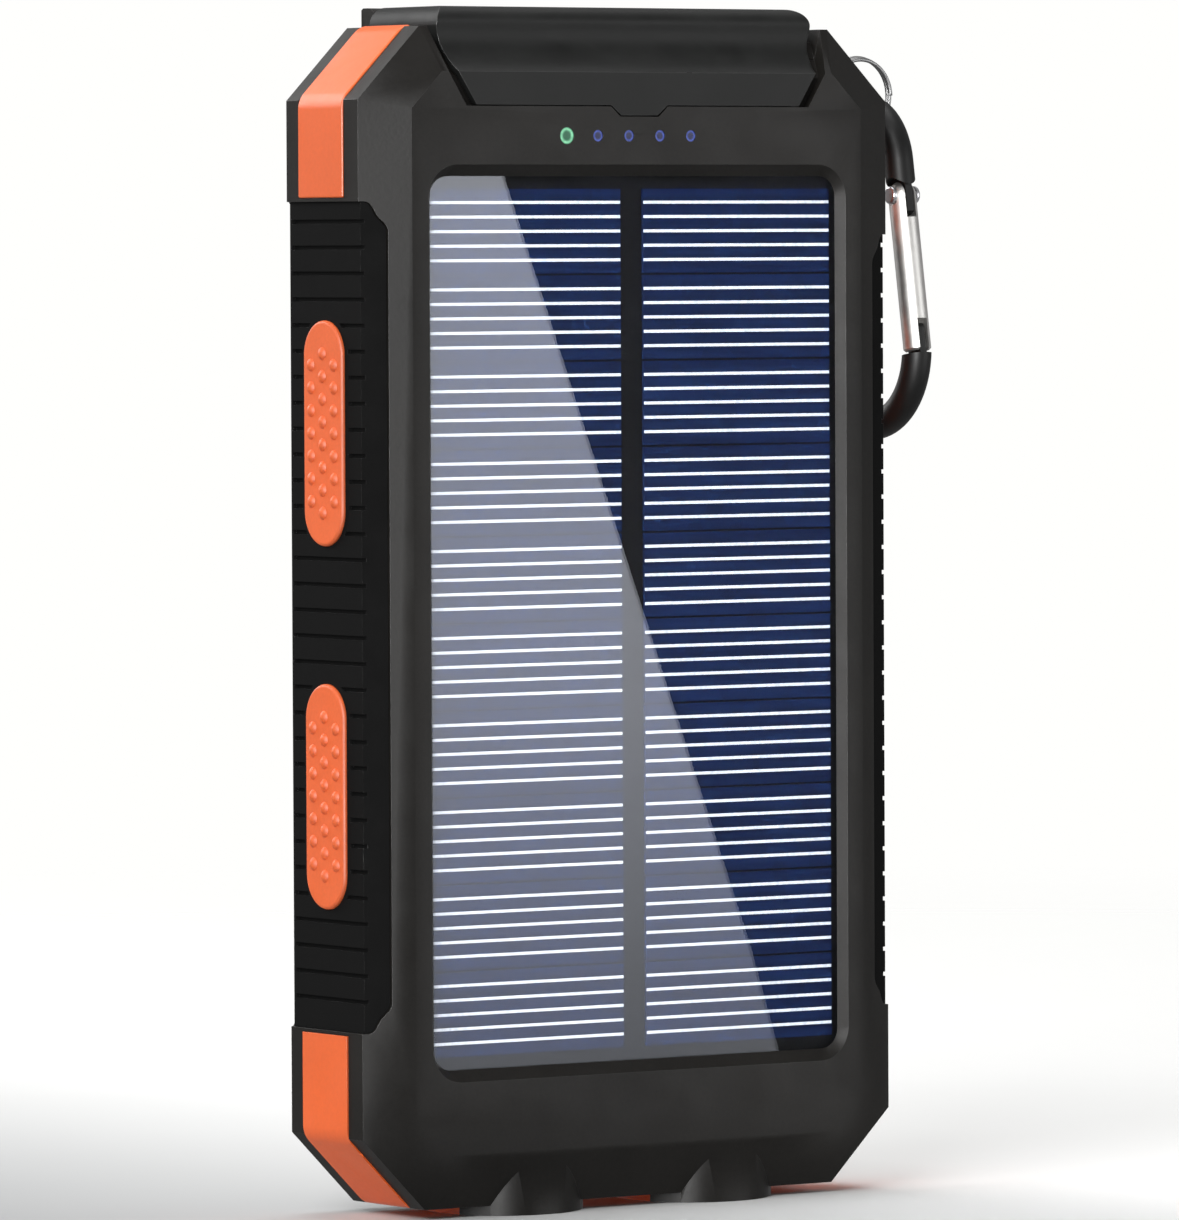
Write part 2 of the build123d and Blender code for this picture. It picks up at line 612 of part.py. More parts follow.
# ---- key ring and carabiner ---------------------------------------------------------------
def make_key_ring():
    """Split ring of two turns that lie side by side."""
    inner, outer, half = ring_mean_radius - 0.5, ring_mean_radius + 0.5, 0.65
    front_half = [(outer - 0.2, 0), (outer, -0.12), (outer, -half + 0.15), (outer - 0.15, -half)]
    front_half += [(inner + 0.15, -half), (inner, -half + 0.15), (inner, -0.12), (inner + 0.2, 0)]
    back_half = [(radius, -depth) for radius, depth in reversed(front_half[1:-1])]
    x, y = ring_hole
    middle_x = x + ring_mean_radius
    ring = turned_y([(radius, depth + y) for radius, depth in front_half + back_half], middle_x, ring_z)
    ring -= box((middle_x + 2.6, middle_x + 2.9), (y - 1, y), (ring_z, ring_z + 6))
    ring -= box((middle_x + 2.0, middle_x + 2.3), (y, y + 1), (ring_z - 6, ring_z))
    return ring


def carabiner_path():
    """Centre line of the carabiner's body in its own Y, Z plane, from the pivot round to the gate."""
    across = Vector(-math.cos(gate_lean), math.sin(gate_lean))

    def end_arc(radius):
        """Centre of the arc that meets both the spine and the gate's line."""
        y = carabiner_spine_y - radius
        reach = (y - gate_pivot[0]) * math.cos(gate_lean) - radius
        return Vector(y, gate_pivot[1] + reach / math.sin(gate_lean))

    top, low = end_arc(carabiner_top_radius), end_arc(carabiner_low_radius)
    top_right, low_right = Vector(carabiner_top_radius, 0), Vector(carabiner_low_radius, 0)
    top_touch = top + across * carabiner_top_radius
    low_touch = low + across * carabiner_low_radius
    pieces = [
        Line(Vector(*gate_pivot), top_touch),
        ThreePointArc(top_touch, top + Vector(0, carabiner_top_radius), top + top_right),
        Line(top + top_right, low + low_right),
        ThreePointArc(low + low_right, low - Vector(0, carabiner_low_radius), low_touch),
    ]
    return Plane.YZ.offset(carabiner_x) * Wire([edge for piece in pieces for edge in piece.edges()])


def make_carabiner():
    """Body, gate and rivet.  The gate's two forked ends straddle flat tongues on the body."""
    path = carabiner_path()
    body = sweep(Plane(origin=path @ 0, z_dir=path % 0) * Circle(rod_radius), path=path)
    at_pivot = Pos(carabiner_x, *gate_pivot) * Rot(X=-math.degrees(gate_lean))
    gate_room = rod_x(gate_radius + 0.4, 0, 0, -3, 3) + box((-3, 3), (-3, 4), (-gate_length - 0.35, 0))
    body -= at_pivot * gate_room
    tongues = rod_x(upper_tongue, 0, 0, -tongue_half, tongue_half) & box((-1, 1), (-1.5, 1.5), (-3, 3))
    nose = box((-tongue_half, tongue_half), (-1.2, 1.2), (-gate_length - 1.4, -lower_tongue))
    tongues += fillet(nose.edges().filter_by(Axis.X).group_by(Axis.Z)[-1], 0.6)
    body += at_pivot * tongues
    body -= at_pivot * rod_x(rivet_radius, 0, 0, -3, 3)

    gate = rod_z(gate_radius, 0, 0, -gate_length, 0)
    gate = chamfer(gate.faces().sort_by(Axis.Z)[0].edges(), 0.25) + Sphere(gate_radius)
    gate -= box((-gate_slot_half, gate_slot_half), (-3, 3), (-upper_slot, 3))
    gate -= box((-gate_slot_half, gate_slot_half), (-3, 3), (-gate_length - 1, -lower_slot))
    gate -= rod_x(rivet_radius + 0.05, 0, 0, -3, 3)
    head_room = rod_x(1.3, 0, 0, 1.5, 3)
    gate -= head_room + mirrored(head_room)
    head = fillet(rod_x(1.1, 0, 0, 1.53, 2.05).edges().sort_by(Axis.X)[-1], 0.3)
    rivet = rod_x(rivet_radius, 0, 0, -1.6, 1.6) + head + mirrored(head)
    return body, at_pivot * gate, at_pivot * rivet


# ---- write every node ---------------------------------------------------------------------
save("front_bezel", make_front_bezel())
save("back_case", make_back_case())
make_solar_panel()
left_grip, right_grip = make_grip(grip_top_left), mirrored(make_grip(grip_top_right))
save("side_grip_left", left_grip)
save("side_grip_right", right_grip)
for level, z in pad_middles.items():
    pad = make_pad(z)
    save(f"grip_pad_{level}_left", pad)
    save(f"grip_pad_{level}_right", mirrored(pad))
save("top_corner_trim", make_top_corner_trim())
save("lamp_bezel", make_lamp_bezel())
for side, name in ((-1, "left"), (1, "right")):
    lens, reflector, emitter = make_lamp(side)
    save(f"lamp_lens_{name}", lens)
    save(f"lamp_reflector_{name}", reflector)
    save(f"lamp_led_{name}", emitter)
    shell, tongue = make_usb_a(side)
    save(f"usb_a_shell_{name}", shell)
    save(f"usb_a_tongue_{name}", tongue)
save("lamp_board", make_lamp_board())
save("main_board", make_main_board())
micro_shell, micro_tongue = make_micro_usb()
save("micro_usb_shell", micro_shell)
save("micro_usb_tongue", micro_tongue)
make_board_components()
make_light_pipes()
make_batteries()
make_wires()
save("power_button", make_power_button())
switch_body, switch_plunger = make_switch()
save("tact_switch", switch_body)
save("switch_plunger", switch_plunger)
save("port_cover", make_port_cover())
save("cover_hinge_pin", rod_x(pin_radius, hinge_y, hinge_z, -pin_half, pin_half))
make_compass()
make_screws()
save("key_ring", make_key_ring())
carabiner_body, carabiner_gate, gate_rivet = make_carabiner()
save("carabiner_body", carabiner_body)
save("carabiner_gate", carabiner_gate)
save("gate_rivet", gate_rivet)
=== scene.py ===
import json
import math

import bmesh
import bpy
from mathutils import Matrix, Vector


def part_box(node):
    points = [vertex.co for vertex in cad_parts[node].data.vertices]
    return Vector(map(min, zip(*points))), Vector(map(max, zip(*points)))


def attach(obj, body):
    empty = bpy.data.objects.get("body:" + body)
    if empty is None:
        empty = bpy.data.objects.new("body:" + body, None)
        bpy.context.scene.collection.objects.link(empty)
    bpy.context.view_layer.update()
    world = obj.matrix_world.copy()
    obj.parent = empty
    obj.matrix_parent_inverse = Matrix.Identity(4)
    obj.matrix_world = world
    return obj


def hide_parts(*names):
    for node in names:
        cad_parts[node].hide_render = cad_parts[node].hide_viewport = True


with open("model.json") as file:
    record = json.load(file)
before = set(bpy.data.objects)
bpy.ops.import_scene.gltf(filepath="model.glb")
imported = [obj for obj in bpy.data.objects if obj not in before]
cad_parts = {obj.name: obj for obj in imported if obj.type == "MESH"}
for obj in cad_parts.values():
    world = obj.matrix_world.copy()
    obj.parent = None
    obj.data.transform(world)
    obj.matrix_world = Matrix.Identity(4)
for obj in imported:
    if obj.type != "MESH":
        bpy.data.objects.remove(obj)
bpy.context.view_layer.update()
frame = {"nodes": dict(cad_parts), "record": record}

# Looks for the solar power bank.  Metres, in the CAD model's frame:
# X across the width, -Y out of the solar face, +Z towards the port end, origin under the middle.

MM = 0.001

# ---- view: where the camera stands ----------------------------------------------------------
VIEW_TURN = 34.7               # degrees that the camera stands to the left of the solar face's normal
VIEW_DOWN = 2.08               # degrees that it looks down
VIEW_ROLL = -0.26              # degrees
VIEW_DISTANCE = 1.206
VIEW_TARGET = Vector((-5.09, -6.48, 70.86)) * MM
VIEW_LENS = 301.2              # mm
SENSOR_WIDTH = 36.0            # mm

# ---- studio: background, floor and cards ------------------------------------------------------
BACKGROUND = (1.0, 1.0, 0.985)
WORLD_LIGHT = 0.3              # strength of the light that comes from all round
FLOOR_RADIUS = 1.6
FLOOR_DROP = 0.02 * MM         # the floor lies this far under the object
FLOOR_FADE = (0.18, 0.65)      # distances from the middle between which the floor thins to nothing
FLOOR_SHADE = (-120 * MM, 60 * MM)   # places in X between which the floor goes from a painted shadow to its pale colour
CARD_FADE = 0.48               # share of a card's height over which its glow rises from nothing
SHEEN_OUTLINE = [(-33, 159), (-20.9, 128), (16.5, 30), (22, 13), (31, -18), (-33, -30)]
DARK_OUTLINE = [(-60, 170), (60, 170), (60, -10), (-60, -10)]
NEAR_CARD = 1.0                # how far the cards stand out from the glass along the sight lines
FAR_CARD = 1.3

# ---- places on the object, in millimetres -----------------------------------------------------
LED_FIRST_X = -10.4
LED_PITCH = 4.45
LED_Z = 126.8

# ---- edges that are rounded on the CAD nodes --------------------------------------------------
CASE_EDGE = 0.3                # mm
GRIP_EDGE = 0.15               # mm
WELD_GAP = 0.001               # mm
FLAT_ANGLE = 0.5               # degrees, under which two faces count as one
SHARP_ANGLE = 30               # degrees, over which an edge is rounded
FACE_WEIGHT = 60               # how far large faces govern the shading next to an edge


# ---- materials ------------------------------------------------------------------------------
class Finish:
    """One node-based material, built outwards from its Principled shader."""

    def __init__(self, name, roughness=0.5, metallic=0.0, **sockets):
        self.material = bpy.data.materials.new(name)
        self.material.use_nodes = True
        self.tree = self.material.node_tree
        self.shader = self.tree.nodes["Principled BSDF"]
        self.output = self.tree.nodes["Material Output"]
        self.place = self.add("ShaderNodeTexCoord").outputs["Object"]
        self.set("Roughness", roughness)
        self.set("Metallic", metallic)
        for socket, value in sockets.items():
            self.set(socket.replace("_", " "), value)

    def add(self, kind, **settings):
        node = self.tree.nodes.new(kind)
        for key, value in settings.items():
            setattr(node, key, value)
        return node

    def set(self, socket, value):
        """A constant goes on the shader's own socket; anything else is an output to link."""
        if isinstance(value, bpy.types.NodeSocket):
            self.tree.links.new(value, self.shader.inputs[socket])
        elif isinstance(value, (tuple, list)) and len(value) == 3:
            self.shader.inputs[socket].default_value = (*value, 1.0)
        else:
            self.shader.inputs[socket].default_value = value

    def feed(self, node, **inputs):
        """Fills a node's inputs, by name or by number as _0, _1, from values or outputs."""
        for key, value in inputs.items():
            name = int(key[1:]) if key[0] == "_" else key.replace("_", " ")
            socket = node.inputs[name]
            if isinstance(value, bpy.types.NodeSocket):
                self.tree.links.new(value, socket)
            else:
                socket.default_value = value
        return node

    def stretched(self, scale):
        mapping = self.feed(self.add("ShaderNodeMapping"), Vector=self.place)
        mapping.inputs["Scale"].default_value = scale
        return mapping.outputs["Vector"]

    def noise(self, size, detail, roughness=0.55, place=None, distortion=0.0):
        """Noise whose features are about this many metres across, from 0 to 1."""
        node = self.feed(self.add("ShaderNodeTexNoise"), Vector=place or self.place, Scale=1 / size,
                         Detail=detail, Roughness=roughness, Distortion=distortion)
        return node.outputs["Fac"]

    def cells(self, size, feature, output):
        """A Voronoi pattern whose cells are about this many metres across."""
        node = self.add("ShaderNodeTexVoronoi", feature=feature)
        self.feed(node, Vector=self.place, Scale=1 / size)
        return node.outputs[output]

    def spread(self, value, low, high, out_low=0.0, out_high=1.0):
        """Maps low..high to out_low..out_high, and holds the ends."""
        node = self.feed(self.add("ShaderNodeMapRange"), Value=value, From_Min=low, From_Max=high,
                         To_Min=out_low, To_Max=out_high)
        return node.outputs["Result"]

    def maths(self, operation, first, second=0.0):
        node = self.feed(self.add("ShaderNodeMath", operation=operation), _0=first, _1=second)
        return node.outputs["Value"]

    def blend(self, share, first, second):
        """Colour between two colours or outputs."""
        node = self.add("ShaderNodeMix", data_type="RGBA")
        full = [(*c, 1.0) if isinstance(c, (tuple, list)) else c for c in (first, second)]
        self.feed(node, _0=share, _6=full[0], _7=full[1])
        return node.outputs[2]

    def axis(self, letter):
        split = self.feed(self.add("ShaderNodeSeparateXYZ"), Vector=self.place)
        return split.outputs[letter]

    def bump(self, height, depth):
        """A surface normal from a height of 0 to 1 that stands for this many metres."""
        node = self.feed(self.add("ShaderNodeBump"), Height=height, Distance=depth, Strength=1.0)
        return node.outputs["Normal"]


def shade(colour, factor):
    """The colour made darker or lighter by a factor."""
    return tuple(min(1.0, c * factor) for c in colour)


def moulded(name, colour, roughness, grain, depth, specular=0.5, variation=0.25, coat=0.0):
    """Moulded plastic: a spark-eroded grain, faint flow clouds, and handling marks in its gloss.

    The grain's size and depth are in millimetres, here and below.
    """
    f = Finish(name, Specular_IOR_Level=specular, Coat_Weight=coat, Coat_Roughness=0.12)
    clouds = f.noise(22 * MM, 3.0)
    specks = f.noise(grain * MM, 2.0)
    tone = f.maths("ADD", f.maths("MULTIPLY", clouds, 0.7), f.maths("MULTIPLY", specks, 0.3))
    tone = f.spread(tone, 0.35, 0.65)
    f.set("Base Color", f.blend(tone, shade(colour, 1 - variation), shade(colour, 1 + variation)))
    rubbed = f.noise(9 * MM, 5.0, 0.65, distortion=0.6)
    f.set("Roughness", f.spread(rubbed, 0.3, 0.7, roughness - 0.06, roughness + 0.08))
    f.set("Normal", f.bump(f.noise(grain * MM, 3.0, 0.6), depth * MM))
    return f.material


def rubber(name, colour, roughness, grain=0.3, depth=0.015, sheen=0.15, specular=0.3):
    """Soft-touch rubber: fine matte grain with dusty clouds."""
    f = Finish(name, Specular_IOR_Level=specular, Sheen_Weight=sheen, Sheen_Roughness=0.5)
    dust = f.noise(6 * MM, 4.0, 0.6)
    f.set("Base Color", f.blend(f.spread(dust, 0.35, 0.75), shade(colour, 0.8), shade(colour, 1.35)))
    f.set("Roughness", f.spread(dust, 0.3, 0.7, roughness - 0.05, roughness + 0.1))
    f.set("Normal", f.bump(f.noise(grain * MM, 3.0, 0.65), depth * MM))
    return f.material


def metal(name, colour, roughness, brushed, depth=0.004, scuffs=0.08):
    """Metal with fine drawing lines along one axis, and scuffs in its gloss."""
    f = Finish(name, metallic=1.0)
    scale = {None: (1, 1, 1), "X": (0.04, 1, 1), "Y": (1, 0.04, 1), "Z": (1, 1, 0.04)}[brushed]
    lines = f.noise(0.25 * MM, 3.0, 0.6, place=f.stretched(scale))
    wear = f.noise(2.5 * MM, 5.0, 0.7)
    f.set("Base Color", f.blend(f.spread(wear, 0.3, 0.7), shade(colour, 0.85), colour))
    f.set("Roughness", f.spread(wear, 0.3, 0.7, roughness, roughness + scuffs))
    f.set("Normal", f.bump(lines, depth * MM))
    return f.material


def clear(name, tint=(1, 1, 1), roughness=0.02, ior=1.49, haze=0.03):
    """Clear plastic that lets lamp light through to what is behind it."""
    f = Finish(name, roughness=roughness, Transmission_Weight=1.0, IOR=ior)
    smears = f.noise(5 * MM, 3.0)
    f.set("Base Color", f.blend(smears, tint, shade(tint, 0.96)))
    f.set("Roughness", f.spread(smears, 0.3, 0.7, roughness, roughness + haze))
    through = f.feed(f.add("ShaderNodeBsdfTransparent"), Color=(*tint, 1.0))
    either = f.add("ShaderNodeMixShader")
    f.feed(either, _0=f.add("ShaderNodeLightPath").outputs["Is Shadow Ray"], _1=f.shader.outputs["BSDF"],
           _2=through.outputs["BSDF"])
    f.tree.links.new(either.outputs["Shader"], f.output.inputs["Surface"])
    return f.material


def glowing(name, colour, rim_colour, radius, power):
    """A light pipe lit from behind: a bright rim round a dimmer middle.

    The pipes stand in an even row, so one pattern repeats along X for all of them.
    """
    f = Finish(name, roughness=0.2, Specular_IOR_Level=0.5)
    row_start = (LED_FIRST_X - LED_PITCH / 2) * MM
    cycle = f.maths("DIVIDE", f.maths("SUBTRACT", f.axis("X"), row_start), LED_PITCH * MM)
    off_x = f.maths("MULTIPLY", f.maths("SUBTRACT", f.maths("FRACT", cycle), 0.5), LED_PITCH * MM)
    off_z = f.maths("SUBTRACT", f.axis("Z"), LED_Z * MM)
    squares = f.maths("ADD", f.maths("MULTIPLY", off_x, off_x), f.maths("MULTIPLY", off_z, off_z))
    out = f.maths("DIVIDE", f.maths("SQRT", squares), radius * MM)
    rim = f.maths("MULTIPLY", f.spread(out, 0.45, 0.72), f.spread(out, 0.84, 1.0, 1.0, 0.25))
    grain = f.noise(0.5 * MM, 2.0)
    rim = f.maths("MULTIPLY", rim, f.spread(grain, 0.3, 0.7, 0.6, 1.0))
    f.set("Base Color", f.blend(rim, shade(colour, 0.5), colour))
    f.set("Emission Color", f.blend(rim, colour, rim_colour))
    f.set("Emission Strength", f.spread(rim, 0, 1, power * 0.25, power))
    f.set("Normal", f.bump(grain, 0.02 * MM))
    return f.material


def silicon(name):
    """Dark blue cells with the faint crystal grains and print banding of polycrystalline silicon."""
    f = Finish(name, roughness=0.6, Specular_IOR_Level=0.05)
    grey = f.feed(f.add("ShaderNodeRGBToBW"), Color=f.cells(2.2 * MM, "F1", "Color"))
    bands = f.noise(1.1 * MM, 3.0, 0.6, place=f.stretched((0.03, 1, 1)))
    tone = f.maths("ADD", f.maths("MULTIPLY", grey.outputs["Val"], 0.25), f.maths("MULTIPLY", bands, 0.75))
    f.set("Base Color", f.blend(f.spread(tone, 0.25, 0.75), (0.001, 0.004, 0.019), (0.003, 0.010, 0.042)))
    f.set("Roughness", f.spread(grey.outputs["Val"], 0.0, 1.0, 0.55, 0.7))
    f.set("Normal", f.bump(bands, 0.004 * MM))
    return f.material


def printed_lines(name):
    """Screen-printed silver paste, slightly uneven."""
    f = Finish(name, roughness=0.45, Specular_IOR_Level=0.5)
    paste = f.noise(0.5 * MM, 3.0)
    f.set("Base Color", f.blend(f.spread(paste, 0.3, 0.7), (0.5, 0.53, 0.58), (0.76, 0.79, 0.83)))
    f.set("Normal", f.bump(paste, 0.01 * MM))
    return f.material


def circuit_board(name, mask, copper):
    """Solder mask over traces, which show as slightly raised lighter lines."""
    f = Finish(name, roughness=0.3, Specular_IOR_Level=0.5)
    trace = f.spread(f.cells(3.0 * MM, "DISTANCE_TO_EDGE", "Distance"), 0.04, 0.09, 1.0, 0.0)
    weave = f.noise(0.5 * MM, 2.0)
    base = f.blend(weave, shade(mask, 0.85), shade(mask, 1.15))
    f.set("Base Color", f.blend(trace, base, copper))
    f.set("Normal", f.bump(trace, 0.03 * MM))
    return f.material


def foil(name):
    """Creased aluminium laminate."""
    f = Finish(name, metallic=0.9, roughness=0.35)
    creases = f.noise(7 * MM, 5.0, 0.6, distortion=1.0)
    f.set("Base Color", f.blend(creases, (0.5, 0.51, 0.53), (0.75, 0.76, 0.78)))
    f.set("Roughness", f.spread(creases, 0.3, 0.7, 0.25, 0.45))
    f.set("Normal", f.bump(creases, 0.15 * MM))
    return f.material


def emitter(name):
    """Lit white LED: yellow phosphor under a bright glow."""
    f = Finish(name, roughness=0.4)
    phosphor = f.noise(0.3 * MM, 3.0)
    f.set("Base Color", f.blend(phosphor, (0.9, 0.8, 0.35), (1.0, 0.95, 0.6)))
    f.set("Emission Color", f.blend(phosphor, (1.0, 0.98, 0.92), (1.0, 1.0, 1.0)))
    f.set("Emission Strength", 10.0)
    f.set("Normal", f.bump(phosphor, 0.01 * MM))
    return f.material


BODY = (0.0125, 0.0112, 0.0098)
ORANGE = (0.9, 0.14, 0.022)

finishes = {
    "case_black": moulded("case_black", BODY, roughness=0.4, grain=0.5, depth=0.008, specular=0.19),
    "grip_black": rubber("grip_black", (0.003, 0.003, 0.003), roughness=0.8, sheen=0.0, specular=0.08),
    "cover_black": rubber("cover_black", (0.009, 0.0095, 0.009), roughness=0.5, grain=0.4, depth=0.01,
                          sheen=0.0, specular=0.25),
    "trim_orange": moulded("trim_orange", ORANGE, roughness=0.42, grain=0.5, depth=0.006, variation=0.06,
                           coat=0.05),
    "pad_orange": moulded("pad_orange", ORANGE, roughness=0.5, grain=0.4, depth=0.01, variation=0.08),
    "panel_glass": clear("panel_glass", (0.97, 0.985, 1.0), roughness=0.0, ior=1.5, haze=0.0),
    "cell_blue": silicon("cell_blue"),
    "finger_silver": printed_lines("finger_silver"),
    "board_black": moulded("board_black", (0.0025, 0.0025, 0.003), roughness=0.6, grain=0.4, depth=0.005,
                           specular=0.05),
    "board_green": circuit_board("board_green", (0.01, 0.11, 0.04), (0.03, 0.2, 0.08)),
    "board_white": circuit_board("board_white", (0.8, 0.8, 0.77), (0.88, 0.88, 0.85)),
    "battery_wrap": foil("battery_wrap"),
    "foam_grey": rubber("foam_grey", (0.2, 0.2, 0.21), roughness=0.85, grain=0.6, depth=0.12),
    "port_steel": metal("port_steel", (0.62, 0.62, 0.64), 0.25, "Z"),
    "port_plastic": moulded("port_plastic", (0.75, 0.75, 0.74), roughness=0.4, grain=0.4, depth=0.005,
                            variation=0.05),
    "chip_black": moulded("chip_black", (0.02, 0.02, 0.021), roughness=0.6, grain=0.2, depth=0.01),
    "coil_grey": moulded("coil_grey", (0.1, 0.1, 0.105), roughness=0.6, grain=0.3, depth=0.02),
    "can_metal": metal("can_metal", (0.75, 0.75, 0.76), 0.22, "Y"),
    "pipe_green": glowing("pipe_green", (0.02, 0.22, 0.1), (0.4, 1.0, 0.6), 1.0, 0.7),
    "pipe_blue": glowing("pipe_blue", (0.008, 0.015, 0.12), (0.08, 0.16, 0.8), 0.7, 0.5),
    "led_white": emitter("led_white"),
    "reflector_chrome": metal("reflector_chrome", (0.93, 0.93, 0.95), 0.06, None, depth=0.002, scuffs=0.05),
    "lamp_clear": clear("lamp_clear", (1.0, 1.0, 1.0)),
    "compass_black": moulded("compass_black", (0.008, 0.008, 0.008), roughness=0.12, grain=0.8, depth=0.002,
                             coat=0.6),
    "compass_dial": moulded("compass_dial", (0.005, 0.04, 0.028), roughness=0.4, grain=0.3, depth=0.004),
    "pivot_brass": moulded("pivot_brass", (0.8, 0.8, 0.72), roughness=0.35, grain=0.3, depth=0.004,
                           variation=0.06),
    "pin_steel": metal("pin_steel", (0.6, 0.6, 0.62), 0.25, "X"),
    "ring_steel": metal("ring_steel", (0.32, 0.32, 0.32), 0.35, None, depth=0.001),
    "carabiner_black": moulded("carabiner_black", (0.006, 0.006, 0.006), roughness=0.45, grain=0.4,
                               depth=0.003, specular=0.3),
    "gate_silver": metal("gate_silver", (0.68, 0.67, 0.65), 0.38, "Z", depth=0.001),
    "wire_red": rubber("wire_red", (0.5, 0.02, 0.02), roughness=0.45),
    "wire_black": rubber("wire_black", (0.015, 0.015, 0.015), roughness=0.45),
}
# finishes of the rounded edges: glossier where handling has polished the surface, and lighter in colour,
# partly from handling wear and partly as a painted highlight along the edges
edges = {
    "case_black": moulded("case_black_edge", shade(BODY, 1.3), roughness=0.3, grain=0.5, depth=0.006),
    "grip_black": rubber("grip_black_edge", (0.01, 0.01, 0.01), roughness=0.3, depth=0.006, sheen=0.0,
                         specular=0.45),
    "cover_black": rubber("cover_black_edge", (0.022, 0.022, 0.021), roughness=0.3, depth=0.006, sheen=0.0,
                          specular=0.5),
    "trim_orange": moulded("trim_orange_edge", shade(ORANGE, 1.1), roughness=0.38, grain=0.5, depth=0.004,
                           variation=0.05, coat=0.1),
}


def dress_frame():
    """Every CAD node takes its slot's finish, and for edges that are rounded later a lighter copy of it:
    partly handling wear, partly a painted highlight.
    """
    slots = {part["node"]: part["material_slot"] for part in frame["record"]["subparts"]}
    for node, part in frame["nodes"].items():
        slot = slots[node]
        part.data.materials.clear()
        part.data.materials.append(finishes[slot])
        part.data.materials.append(edges.get(slot, finishes[slot]))


def soften(node, width):
    """Rounds a CAD node's sharp edges, whose finish is the slot's lighter edge copy: partly wear, partly a
    painted highlight.
    """
    part = frame["nodes"][node]
    weld = part.modifiers.new("weld", "WELD")
    weld.merge_threshold = WELD_GAP * MM
    flat = part.modifiers.new("flat", "DECIMATE")
    flat.decimate_type = "DISSOLVE"
    flat.angle_limit = math.radians(FLAT_ANGLE)
    bevel = part.modifiers.new("bevel", "BEVEL")
    bevel.width = width * MM
    bevel.segments = 2
    bevel.limit_method = "ANGLE"
    bevel.angle_limit = math.radians(SHARP_ANGLE)
    bevel.material = 1
    bevel.use_clamp_overlap = True
    normals = part.modifiers.new("normals", "WEIGHTED_NORMAL")
    normals.keep_sharp = False
    normals.weight = FACE_WEIGHT


dress_frame()
for node in ("front_bezel", "back_case", "port_cover", "power_button", "top_corner_trim", "lamp_bezel"):
    soften(node, CASE_EDGE)
for node in ("side_grip_left", "side_grip_right"):
    soften(node, GRIP_EDGE)


# ---- pieces built here ----------------------------------------------------------------------
def piece(name, points, faces, slot, finish, body, smooth=True):
    """A mesh of our own that rides a body; its points are in millimetres."""
    mesh = bpy.data.meshes.new(name)
    mesh.from_pydata([Vector(p) * MM for p in points], [], faces)
    mesh.polygons.foreach_set("use_smooth", [smooth] * len(faces))
    mesh.materials.append(finish)
    obj = bpy.data.objects.new(name, mesh)
    bpy.context.scene.collection.objects.link(obj)
    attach(obj, body)
    return obj


def make_split_ring():
    """Spring-wire ring of two and a half turns, in place of the plain ring."""
    low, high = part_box("key_ring")
    middle = (low + high) / 2 / MM
    wire = 0.24                # radius of the wire
    turns = 2.5
    steps = 180
    sides = 10
    inset = 0.1                # keeps the coils inside the plain ring's rim
    sway = 0.5 * wire          # how far the coils wander in and out
    length = 4.0 * wire        # from the first coil's middle to the last one's
    mean = (high.x - low.x) / 2 / MM - wire - inset
    points = []
    faces = []
    for step in range(steps + 1):
        share = step / steps
        angle = 2 * math.pi * turns * share
        radius = mean - sway * math.sin(math.pi * 4 * share)
        depth = (share - 0.5) * length
        for side in range(sides):
            around = 2 * math.pi * side / sides
            out = radius + wire * math.cos(around)
            points.append((middle.x + out * math.cos(angle), middle.y + depth + wire * math.sin(around),
                           middle.z + out * math.sin(angle)))
    for step in range(steps):
        for side in range(sides):
            a = step * sides + side
            b = step * sides + (side + 1) % sides
            faces.append((a, b, b + sides, a + sides))
    faces.append(tuple(range(sides)))
    faces.append(tuple(steps * sides + side for side in reversed(range(sides))))
    ring = piece("split_ring", points, faces, "ring_steel", finishes["ring_steel"], "key_ring")
    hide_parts("key_ring")


# compass letters as pen strokes, about ten units high
LETTERS = {
    "N": [[(0, 0), (0, 10), (7, 0), (7, 10)]],
    "E": [[(6, 0), (0, 0), (0, 10), (6, 10)], [(0, 5), (5, 5)]],
    "S": [[(0, 1), (2, 0), (5, 0), (6.5, 2), (5, 5), (1.5, 5.5), (0.3, 8), (2, 10), (5, 10), (6.5, 9)]],
    "W": [[(0, 10), (2.2, 0), (4.5, 7), (6.8, 0), (9, 10)]],
}


# marks on the compass card, in millimetres: insets are from the card's rim
INK = 0.04                     # thickness of the print
TICKS = 72
LONG_EVERY = 6
TICK_INSET = 0.15
LONG_TICK = (0.8, 0.16)        # length and width
SHORT_TICK = (0.45, 0.09)
RING_SIDES = 60
RING_INSET = 1.1
RING_WIDTH = 0.1
RING_OVERLAP = 1.05            # each side of the ring runs a little into the next
BETWEEN_INSETS = (1.4, 2.1)    # marks half way between the letters
BETWEEN_WIDTH = 0.3
LETTER_INSET = 2.9
LETTER_UNIT = 0.125
LETTER_WIDTH = 0.24


def stroke(points, faces, start, end, width, y):
    """A flat bar between two places on the dial, facing +Y."""
    way = Vector(end) - Vector(start)
    side = Vector((-way.y, way.x)).normalized() * (width / 2)
    first = len(points)
    for corner in (Vector(start) + side, Vector(start) - side, Vector(end) - side, Vector(end) + side):
        points.append((corner.x, y, corner.y))
        points.append((corner.x, y + INK, corner.y))
    faces.append(tuple(first + i for i in (1, 3, 5, 7)))
    faces.append(tuple(first + i for i in (6, 4, 2, 0)))
    for i in range(4):
        a = first + 2 * i
        b = first + 2 * ((i + 1) % 4)
        faces.append((a, b, b + 1, a + 1))


